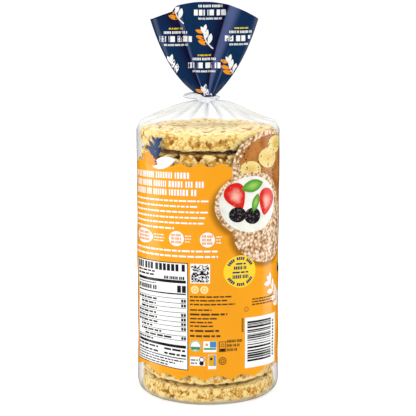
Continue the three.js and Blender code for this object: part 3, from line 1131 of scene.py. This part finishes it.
def small_marks(inks):
    """The small round and square marks below the text, as plain fields of colour."""
    for across in (-9.0, -2.5):
        inks["cream"].disc(across, 77.7, 2.75)
        inks["orange"].ring(across, 77.7, 1.5, 0.4)
    inks["white"].disc(-8.6, 38.5, 3.9)
    inks["green"].ring(-8.6, 38.5, 3.7, 0.4)
    inks["green"].bar(-11.6, -5.6, 35.9, 37.9)
    inks["white"].bar(-3.2, 5.8, 34.3, 41.9)
    inks["blue"].bar(1.3, 5.6, 37.6, 41.7)
    inks["green"].bar(-2.8, 5.4, 36.0, 37.2)
    inks["orange"].disc(-0.8, 39.5, 0.9)
    inks["black"].frame(7.5, 12.4, 34.3, 41.6, 0.4)
    inks["black"].bar(8.2, 11.7, 34.9, 36.6)
    inks["black"].ring(9.95, 39.0, 1.2, 0.3)
    inks["white"].bar(-12.4, -2.1, 24.6, 30.9)
    inks["black"].ring(-4.2, 29.0, 1.9, 0.5)
    inks["black"].disc(-4.4, 26.4, 1.5)
    inks["black"].words(-11.9, -6.9, 28.6, 0.8, 140)
    inks["black"].words(-11.9, -6.9, 26.4, 0.8, 141)
    inks["white"].bar(0.0, 5.6, 22.4, 32.5)
    inks["gold"].bar(0.3, 4.2, 24.6, 32.2)
    inks["blue"].bar(4.2, 5.3, 24.6, 32.2)
    inks["black"].disc(2.2, 29.6, 0.9)
    inks["black"].ring(10.0, 27.9, 2.6, 0.45)
    inks["black"].ring(10.0, 27.9, 1.3, 0.4)


BADGE = (23.0, 89.7, 12.5, 11.2)
BACK_MIDDLE = math.pi * BAG_RADIUS


def badge(yellow, navy):
    """The yellow round mark, with blocks round its rim and three rows across it."""
    x, y, radius, radius_up = BADGE
    yellow.disc(x, y, radius, radius_up, points=48)
    for start, end, count in ((28, 152, 14), (208, 332, 14)):
        for step in range(count):
            turn = math.radians(lerp(start, end, (step + 0.5) / count))
            if step % 5 != 4:
                inner = Vector((x + 0.72 * radius * math.cos(turn), y + 0.72 * radius_up * math.sin(turn)))
                outer = Vector((x + 0.9 * radius * math.cos(turn), y + 0.9 * radius_up * math.sin(turn)))
                navy.line(inner, outer, 1.15)
    navy.words(x - 3.4, x + 4.0, y + 5.3, 1.1, 150)
    navy.capitals(x - 5.0, x + 5.2, y + 2.5, 2.2, 151)
    navy.words(x - 6.0, x + 6.2, y - 0.6, 1.1, 152)
    navy.capitals(x - 6.0, x + 6.2, y - 3.6, 2.4, 153)


def grain_sprig(ink, foot, tip, bend, pairs, leaf_length, stem_width, other=None):
    """A bent stalk with pairs of leaves, those on one side in another ink where one is given."""
    foot, tip = Vector(foot), Vector(tip)
    run = tip - foot
    across = Vector((-run.y, run.x)).normalized()
    heading_turn = math.atan2(run.y, run.x)

    def on_stalk(share):
        return foot + run * share + across * (bend * math.sin(math.pi * share))

    pieces = 8
    for i in range(pieces):
        ink.line(on_stalk(i / pieces), on_stalk((i + 1.15) / pieces), stem_width)
    for i in range(pairs):
        share = 0.3 + 0.62 * i / max(pairs - 1, 1)
        middle = on_stalk(share)
        size = leaf_length * (1 - 0.3 * share)
        for side in (-1, 1):
            turn = heading_turn + side * math.radians(42)
            out = Vector((math.cos(turn), math.sin(turn))) * size * 0.56
            chosen = other if other is not None and side > 0 else ink
            chosen.leaf(middle.x + out.x, middle.y + out.y, size, size * 0.42, turn)
    end = on_stalk(1.0) + run.normalized()
    ink.leaf(end.x, end.y, leaf_length * 0.7, leaf_length * 0.3, heading_turn)


def emblem(white, orange, navy):
    """A seedling at the top left: a navy stalk with small leaves over one white and one orange leaf."""
    white.leaf(-33.0, 163.5, 21.0, 8.0, math.radians(14))
    orange.leaf(-46.5, 165.5, 19.0, 8.0, math.radians(160))
    grain_sprig(navy, (-38.5, 162.0), (-37.5, 179.0), 3.4, 3, 10.0, 2.0)


def front_print():
    white, inset = heading()
    table_rim = Ink("table_rim", PRINTS["black"], 0.03)
    black = Ink("black_print", PRINTS["black"], MIDDLE)
    left, right = facts_panel(white, table_rim)
    facts_rows(black, left, right)
    square_code(white, black)
    line_code(white, black)
    inks = {"white": white, "black": black, "orange": inset}
    inks["cream"] = Ink("cream_print", PRINTS["cream"], LOW)
    inks["green"] = Ink("green_print", PRINTS["green"], MIDDLE)
    inks["blue"] = Ink("blue_print", PRINTS["blue"], MIDDLE)
    inks["gold"] = Ink("gold_print", PRINTS["gold"], MIDDLE)
    small_marks(inks)
    brown = Ink("brown_print", PRINTS["brown"], LOW)
    small_text(brown)
    yellow = Ink("yellow_print", PRINTS["yellow"], LOW)
    navy = Ink("navy_print", PRINTS["navy"], MIDDLE)
    badge(yellow, navy)
    grain_sprig(white, (76.0, 58.0), (51.0, 81.0), 2.5, 4, 10.5, 0.7)
    emblem(white, inset, navy)
    navy.disc(68.5, 87.5, 3.4, 2.6)
    inks["green"].leaf(66.5, 90.6, 6.0, 2.0, math.radians(150))
    for ink in (table_rim, brown, yellow, navy, *inks.values()):
        ink.lay()


def picture(name, ink, layer):
    """The ink of a pictured piece, with its layer counted out from the film."""
    return Ink("picture_" + name, PRINTS[ink], LOW + PICTURE_STEP * layer)


def pictured_cakes():
    """Three pictured cakes: a plain one, one with brown spread and slices, one with cream and fruit."""
    plain = picture("plain_cake", "plain_cake", 0)
    plain.disc(*PLAIN_CAKE, points=56)
    spread_rim = picture("spread_rim", "cake_rim", 1)
    x, y, radius, radius_up = SPREAD_CAKE
    spread_rim.disc(x, y, radius, radius_up, points=56)
    spread = picture("spread", "spread", 2)
    spread.disc(x + 0.6, y, radius - 4.6, radius_up - 4.2, points=56)
    slices = picture("slices", "slice", 3)
    slices.disc(31.0, 158.7, 9.2, 6.0)
    slices.disc(58.0, 176.0, 10.5, 6.6)
    slices.disc(48.5, 166.5, 10.8, 6.9)
    cream_rim = picture("cream_rim", "cake_rim", 4)
    x, y, radius, radius_up = CREAM_CAKE
    cream_rim.disc(x, y, radius, radius_up, points=56)
    cream = picture("cream", "spread_cream", 5)
    cream.disc(x - 1.6, y + 0.2, radius - 4.8, radius_up - 3.2, points=56)
    red = picture("red_fruit", "red_fruit", 6)
    red.drop(19.5, 141.0, 19.0, 14.5, math.radians(-62))
    red.drop(45.8, 136.5, 19.0, 15.5, math.radians(-104))
    dark = picture("dark_fruit", "dark_fruit", 7)
    dark.disc(32.5, 127.5, 7.0, 5.6)
    dark.disc(20.5, 128.8, 6.4, 5.2)
    leaf = picture("leaf", "leaf", 8)
    leaf.leaf(32.5, 148.0, 19.0, 8.5, math.radians(12))
    leaf.leaf(35.0, 136.5, 13.0, 6.0, math.radians(70))
    for ink in (plain, spread_rim, spread, slices, cream_rim, cream, red, dark, leaf):
        ink.lay()


def back_print():
    """A plain panel on the side that no photograph shows: a pictured cake, a field and two sprigs."""
    white = Ink("back_white", PRINTS["white"], MIDDLE)
    navy = Ink("back_navy", PRINTS["navy"], LOW)
    cake = Ink("back_cake", PRINTS["plain_cake"], LOW)
    x = BACK_MIDDLE
    navy.disc(x, 126.0, 40.0, 21.0, points=64)
    white.capitals(x - 27.0, x + 27.0, 132.0, 8.0, 301)
    white.capitals(x - 22.0, x + 22.0, 121.5, 5.5, 302)
    white.words(x - 14.0, x + 14.0, 114.5, 1.6, 303)
    cake.disc(x, 68.0, 38.0, 31.0, points=64)
    grain_sprig(white, (x - 44.0, 40.0), (x - 52.0, 84.0), 4.0, 5, 10.0, 0.9)
    grain_sprig(white, (x + 44.0, 40.0), (x + 52.0, 84.0), -4.0, 5, 10.0, 0.9)
    white.words(x - 26.0, x + 26.0, 31.0, 1.6, 304)
    white.words(x - 20.0, x + 20.0, 27.0, 1.6, 305)
    for ink in (navy, cake, white):
        ink.lay()


# Seams

SEAM_MIDDLE = -112.0
SEAM_WIDTH = 9.0
SEAM_LIFT = 0.35
SEAM_ROWS = 120
SEAM_COLUMNS = 12


def lap_seam():
    """The lap where the film's two edges are welded, down the side away from the table."""
    sheet = grid_sheet("lap_seam", SEAM_COLUMNS, SEAM_ROWS)
    flat = points_of(sheet)
    across = SEAM_MIDDLE + (flat[:, 0] - 0.5) * SEAM_WIDTH
    level = lerp(BAND_BOTTOM + 3.5, BAND_TOP - 1.0, flat[:, 1])
    crimp = 0.12 * np.sin(FULL_TURN * flat[:, 1] * SEAM_ROWS / 4)
    lift = SEAM_LIFT * smooth_step(0, 0.08, flat[:, 0]) + crimp * smooth_step(0.5, 0.6, flat[:, 0])
    move_points(sheet, print_place(across, level, lift + 0.02) * MM)
    apply_modifier(sheet, "SOLIDIFY", thickness=FILM_THICKNESS * MM, offset=-1)
    sheet.data.materials.append(FILM_MATERIALS["orange"])
    shade_smooth(sheet, 60)
    return keep(sheet, "printed_film")


# Motifs on the fan

SPRIG_SPOTS = [(0.0, 247.0), (-23.0, 226.5), (17.0, 226.5), (0.0, 206.0), (-20.0, 264.0)]
STACK_SPOTS = [(-22.0, 249.0), (-2.5, 231.0), (22.5, 249.5), (1.5, 267.0)]


def fan_motifs():
    """Sprigs and stacks of bars, set out in turn over both faces of the fan."""
    for name, side in (("front", -1), ("back", 1)):
        white = Ink(f"fan_white_{name}", PRINTS["white"], LOW, "navy_film")
        orange = Ink(f"fan_orange_{name}", PRINTS["orange"], LOW, "navy_film")
        yellow = Ink(f"fan_yellow_{name}", PRINTS["yellow"], LOW, "navy_film")
        for x, z in SPRIG_SPOTS:
            grain_sprig(white, (x + 3.5, z - 6.5), (x - 3.0, z + 5.5), 1.6, 3, 8.0, 0.8, other=orange)
        for index, (x, z) in enumerate(STACK_SPOTS):
            yellow.capitals(x - 4.5, x + 4.8, z + 5.2, 1.1, 200 + index)
            white.capitals(x - 8.0, x + 8.2, z + 2.6, 1.7, 210 + index)
            white.capitals(x - 11.0, x + 11.0, z - 1.8, 3.9, 220 + index, width=0.72)
            white.capitals(x - 8.0, x + 8.2, z - 5.9, 1.3, 230 + index)
        for ink in (white, orange, yellow):
            ink.lay(
                lambda x, z, lift: fan_print_place(-side * x, z, lift, side),
                lambda x, z: on_fan(-side * x, z, side),
            )


# Cakes


def chance_direction(rng):
    return Vector((rng.gauss(0, 1), rng.gauss(0, 1), rng.gauss(0, 1))).normalized()


def grain_shape(seed):
    """One puffed grain about one unit long, with a few swellings."""
    bpy.ops.object.select_all(action="DESELECT")
    bpy.ops.mesh.primitive_ico_sphere_add(subdivisions=2, radius=0.5)
    grain = named("grain")
    rng = random.Random(seed)
    places = points_of(grain)
    for _ in range(5):
        swell = np.clip(places @ np.array(chance_direction(rng)) / 0.5, 0, 1) ** 3
        places = places * (1 + rng.uniform(-0.12, 0.3) * swell)[:, None]
    faces = [tuple(face.vertices) for face in grain.data.polygons]
    bpy.data.objects.remove(grain)
    return places, np.array(faces)


GRAIN_SHAPES = [grain_shape(seed) for seed in range(6)]
GRAIN_SPACING = 6.2
GRAIN_LENGTHS = (8.0, 12.0)
GRAIN_WIDTHS = (6.0, 8.6)
GRAIN_HEIGHTS = (5.2, 7.4)
SIDE_ROWS = 3
SIDE_ROW_STEP = 3.9
CORE_INSET = 5.5
CORE_CUT = 2.7
CHIP_DEPTH = 7
CHIP_SHARE = 0.86
PUFF_RELIEF = 3.2
LUMP_RELIEF = 1.3
LUMP_SIZE = 1.7
FACE_SOFTNESS = 2.6
RIM_SOFTNESS = 3.0
RIM_WAVE = 0.7


def turned(places, rng):
    axis = chance_direction(rng)
    return places @ np.array(Matrix.Rotation(rng.uniform(0, FULL_TURN), 3, axis)).T


def chipped(x, y, z, chips):
    """True where a break in the rim has taken the grain away."""
    for middle, spread, from_height in chips:
        apart = abs(wrapped(math.atan2(y, x) - middle))
        if apart < spread and z > from_height and math.hypot(x, y) > CAKE_RADIUS - CHIP_DEPTH:
            return True
    return False


def grain_places(rng, chips):
    """Where the grains sit: over the top and the bottom, and round the side."""
    spots = []
    half = CAKE_THICKNESS / 2
    inner = CAKE_RADIUS - 3
    for height in (half - 2.4, -half + 2.4):
        steps = int(inner / GRAIN_SPACING) + 1
        for i in range(-steps, steps + 1):
            for j in range(-steps, steps + 1):
                x = GRAIN_SPACING * (i + 0.5 * (j % 2)) + rng.uniform(-0.28, 0.28) * GRAIN_SPACING
                y = GRAIN_SPACING * 0.87 * j + rng.uniform(-0.28, 0.28) * GRAIN_SPACING
                if math.hypot(x, y) < inner:
                    spots.append((x, y, height + rng.uniform(-1.3, 1.0)))
    around = int(FULL_TURN * inner / (GRAIN_SPACING * 0.95))
    for row in range(SIDE_ROWS):
        for i in range(around):
            angle = FULL_TURN * (i + 0.5 * row + rng.uniform(-0.25, 0.25)) / around
            radius = CAKE_RADIUS - 3.3 + rng.uniform(-1.6, 1.2)
            height = (row - 1) * SIDE_ROW_STEP + rng.uniform(-1.1, 1.1)
            spots.append((radius * math.cos(angle), radius * math.sin(angle), height))
    return [spot for spot in spots if not chipped(*spot, chips)]


def pressed(distance, limit, softness):
    """Distances from the middle, flattened where they pass a mould's wall."""
    inside = limit - softness
    over = np.maximum(np.abs(distance) - inside, 0)
    flattened = np.minimum(np.abs(distance), inside) + softness * np.tanh(over / (1.6 * softness))
    return np.sign(distance) * flattened


def hollows(cake, steps):
    """How far each point lies below the smoothed surface, from -3 on a crest to 3 in a crease."""
    places = points_of(cake)
    normals = np.empty(places.size)
    cake.data.vertices.foreach_get("normal", normals)
    smoothed = duplicate(cake, "smoothed")
    apply_modifier(smoothed, "SMOOTH", factor=1.0, iterations=steps)
    below = ((points_of(smoothed) - places) * normals.reshape(-1, 3)).sum(axis=1)
    bpy.data.objects.remove(smoothed)
    return np.clip(below / below.std(), -3, 3)


def fuse_grains(cake, spots, rng, chips):
    """Turns a plain core into one mesh with a grain at every spot."""
    core = points_of(cake)
    for middle, spread, _ in chips:
        apart = wrapped(np.arctan2(core[:, 1], core[:, 0]) - middle)
        core[:, :2] *= np.where((np.abs(apart) < spread) & (core[:, 2] > 0), CHIP_SHARE, 1)[:, None]
    blocks = [core]
    faces = [tuple(face.vertices) for face in cake.data.polygons]
    base = len(core)
    for spot in spots:
        shape, shape_faces = GRAIN_SHAPES[rng.randrange(len(GRAIN_SHAPES))]
        size = [rng.uniform(*limits) for limits in (GRAIN_LENGTHS, GRAIN_WIDTHS, GRAIN_HEIGHTS)]
        grain = turned(shape * np.array(size), rng) + np.array(spot)
        blocks.append(grain)
        faces.extend(map(tuple, shape_faces + base))
        base += len(grain)
    mesh = bpy.data.meshes.new(cake.name)
    mesh.from_pydata(np.concatenate(blocks).tolist(), [], faces)
    old = cake.data
    cake.data = mesh
    bpy.data.meshes.remove(old)


def displace(thing, kind, strength, middle, **settings):
    """Pushes a surface in and out by a procedural texture."""
    relief = bpy.data.textures.new("relief", kind)
    for key, value in settings.items():
        setattr(relief, key, value)
    apply_modifier(thing, "DISPLACE", texture=relief, strength=strength, mid_level=middle)
    bpy.data.textures.remove(relief)


def grain_tones(places, spots, rng):
    """One chance number for every grain, given to the points that lie nearest to it."""
    tree = kdtree.KDTree(len(spots))
    for index, spot in enumerate(spots):
        tree.insert(spot, index)
    tree.balance()
    tones = [rng.random() for _ in spots]
    return np.array([tones[tree.find(place)[1]] for place in places])


def rice_cake(name, seed, voxel_mm, chips=(), paleness=1.0):
    """A pressed disc of puffed grains, centred on the origin."""
    rng = random.Random(seed)
    spots = grain_places(rng, chips)
    bpy.ops.object.select_all(action="DESELECT")
    core_depth = CAKE_THICKNESS - 2 * CORE_CUT
    bpy.ops.mesh.primitive_cylinder_add(vertices=72, radius=CAKE_RADIUS - CORE_INSET, depth=core_depth)
    cake = named(name)
    fuse_grains(cake, spots, rng, chips)
    apply_modifier(cake, "REMESH", mode="VOXEL", voxel_size=voxel_mm, adaptivity=0)
    apply_modifier(cake, "SMOOTH", factor=0.5, iterations=1)
    displace(cake, "VORONOI", PUFF_RELIEF, 0.3, noise_scale=GRAIN_SPACING, weight_1=-1, weight_2=1)
    displace(cake, "CLOUDS", LUMP_RELIEF, 0.5, noise_scale=LUMP_SIZE, noise_depth=2)
    places = points_of(cake)
    half = CAKE_THICKNESS / 2
    radius = np.hypot(places[:, 0], places[:, 1])
    angle = np.arctan2(places[:, 1], places[:, 0])
    outline = CAKE_RADIUS + RIM_WAVE * (crinkle(angle, 0, seed, waves=6, highest=17) - 1)
    outline = outline - EDGE_ROUNDING * np.clip(np.abs(places[:, 2]) / half, 0, 1) ** 4
    # The mask for the painted shadow: how far a point lies inside the outline and the faces, near the cake's
    # upper side.
    depth = np.clip(np.minimum(half - np.abs(places[:, 2]), outline - radius), 0, 6)
    depth = depth * smooth_step(0.5, 4, places[:, 2])
    face = 1 - smooth_step(CAKE_RADIUS - 5, CAKE_RADIUS - 1.5, radius)
    face = paleness * face * smooth_step(half - 3.0, half - 1.0, np.abs(places[:, 2]))
    places[:, 2] = pressed(places[:, 2], half, FACE_SOFTNESS)
    places[:, :2] *= (pressed(radius, outline, RIM_SOFTNESS) / np.maximum(radius, 1e-6))[:, None]
    tone = grain_tones(places, spots, rng)
    move_points(cake, places)
    add_value(cake, "hollow", hollows(cake, 40))
    add_value(cake, "crevice", hollows(cake, 6))
    add_value(cake, "depth", depth)
    add_value(cake, "face", face)
    add_value(cake, "tone", tone)
    return cake


def set_cake(cake, number, turn, shift):
    """Puts a cake in the stack, counted from the bottom."""
    cosine, sine = math.cos(turn), math.sin(turn)
    spun = points_of(cake) @ np.array([[cosine, sine, 0], [-sine, cosine, 0], [0, 0, 1]])
    middle = np.array([shift[0], shift[1], (number - 0.5) * CAKE_PITCH - 0.1])
    move_points(cake, (spun + middle) * MM)
    cake.data.materials.append(RICE)
    shade_smooth(cake, 180)
    return keep(cake, "puffed_rice")


RICE = puffed_rice()

# Where the second cake's rim is broken: the angle, half the spread and the height the break starts at
SECOND_CAKE_CHIPS = [(-2.03, 0.17, 0.5), (-1.72, 0.04, -3.0), (-1.36, 0.12, 2.0)]


FINE_VOXEL = 0.62
COARSE_VOXEL = 2.2


def cake_stack():
    """The four cakes that show, and between them coarser copies of one that the band hides."""
    top = rice_cake("cake_14", 3, FINE_VOXEL)
    # The second cake's faces keep the sides' golden colours, as painted warm shade under the top cake.
    second = rice_cake("cake_13", 8, FINE_VOXEL, chips=SECOND_CAKE_CHIPS, paleness=0.0)
    low = rice_cake("cake_01", 21, FINE_VOXEL)
    low_second = rice_cake("cake_02", 34, FINE_VOXEL)
    plain = rice_cake("cake_03", 55, COARSE_VOXEL)
    rng = random.Random(77)
    hidden = [plain] + [duplicate(plain, "cake_%02d" % number) for number in range(4, CAKE_COUNT - 1)]
    for number, cake in enumerate(hidden, start=3):
        set_cake(cake, number, rng.uniform(0, FULL_TURN), (rng.uniform(-0.5, 0.5), rng.uniform(-0.5, 0.5)))
    set_cake(low, 1, 0.4, (0, 0))
    set_cake(low_second, 2, 1.7, (0.4, -0.2))
    set_cake(second, 13, 0, (0.2, -0.5))
    set_cake(top, 14, 2.2, (-0.3, 0))


# Camera and light

WORLD_LIGHT = 1.0
FLOOR_GLOW = 0.3
CAMERA_DISTANCE = 1.0
CAMERA_HEIGHT = 0.3182
CAMERA_TILT = math.radians(10.72)
CAMERA_LENS = 125.8
CAMERA_SENSOR = 36.0
FLOOR_DROP = 0.3 * MM

# The soft lights: name, place, the point each is aimed at, size, power and whether the glossy film shows it
LIGHTS = [
    ("left", (-0.8, -0.3, 0.35), (0, 0, 0.13), (0.3, 0.8), 2.3, False),
    ("right", (0.8, -0.2, 0.35), (0, 0, 0.13), (0.3, 0.8), 1.6, False),
    ("top", (0.0, -0.25, 1.1), (0, 0, 0.1), (0.6, 0.4), 3.6, False),
    ("gloss_left", (-0.74, 0.12, 0.2), (0, 0, 0.13), (0.4, 0.9), 1.7, True),
    ("gloss_right", (0.7, 0.26, 0.2), (0, 0, 0.13), (0.3, 0.9), 1.2, True),
]


def area_light(name, place, aim, size, power, reflected):
    light = bpy.data.lights.new(name, "AREA")
    light.shape = "RECTANGLE"
    light.size, light.size_y = size
    light.energy = power
    thing = bpy.data.objects.new(name, light)
    bpy.context.scene.collection.objects.link(thing)
    thing.location = place
    thing.rotation_euler = (Vector(aim) - Vector(place)).to_track_quat("-Z", "Y").to_euler()
    thing.visible_glossy = reflected


def studio():
    bpy.ops.object.select_all(action="DESELECT")
    bpy.ops.mesh.primitive_plane_add(size=30, location=(0, 0, -FLOOR_DROP))
    floor = named("floor")
    finish = Finish("floor_white")
    glow = {"emission_color": colour("FFFFFF"), "emission_strength": FLOOR_GLOW}
    finish.surface(base_color=colour("E6E6E6"), roughness=0.9, **glow)
    floor.data.materials.append(finish.material)
    floor.visible_glossy = False
    world = bpy.data.worlds.new("studio")
    world.use_nodes = True
    background = world.node_tree.nodes["Background"]
    background.inputs["Color"].default_value = (1, 1, 1, 1)
    background.inputs["Strength"].default_value = WORLD_LIGHT
    world.cycles_visibility.glossy = False
    scene = bpy.context.scene
    scene.world = world
    scene.view_settings.view_transform = "Standard"
    for light in LIGHTS:
        area_light(*light)
    camera = bpy.data.cameras.new("camera")
    camera.lens = CAMERA_LENS
    camera.sensor_width = CAMERA_SENSOR
    thing = bpy.data.objects.new("camera", camera)
    scene.collection.objects.link(thing)
    thing.location = (0, -CAMERA_DISTANCE, CAMERA_HEIGHT)
    thing.rotation_euler = (math.pi / 2 - CAMERA_TILT, 0, 0)
    scene.camera = thing


studio()
bag_film()
fan_film()
neck_wrap()
cake_stack()
front_print()
pictured_cakes()
back_print()
lap_seam()
fan_motifs()
